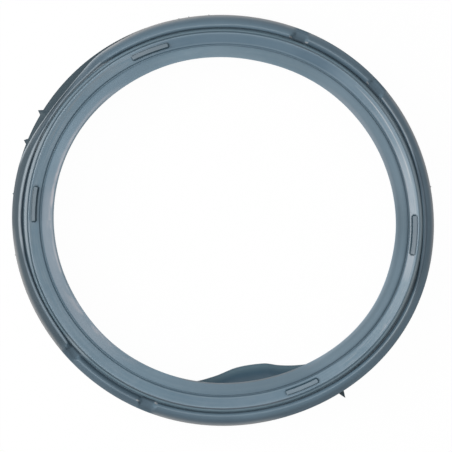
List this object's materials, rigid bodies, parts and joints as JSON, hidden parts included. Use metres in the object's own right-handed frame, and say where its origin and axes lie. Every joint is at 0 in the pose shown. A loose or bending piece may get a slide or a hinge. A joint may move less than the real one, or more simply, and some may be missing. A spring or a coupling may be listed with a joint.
{
  "type": "washing machine door seal",
  "caption": "Moulded grey rubber ring that closes the gap between a front-loading washer's door opening and its tub, with a door glass lip, a front clamp groove and a bellows.",
  "frame": {"origin": "centre of the ring's outline, on the plane of the tub end's underside", "axes": "+Z along the ring's axis towards the user, +X across the ring's widest part, +Y towards the top of the ring as it hangs in the machine"},
  "size_m": [0.3744, 0.3646, 0.06],
  "materials": {
    "seal_rubber": "satin"
  },
  "bodies": {
    "root": {"door_seal": "seal_rubber"}
  },
  "joints": []
}
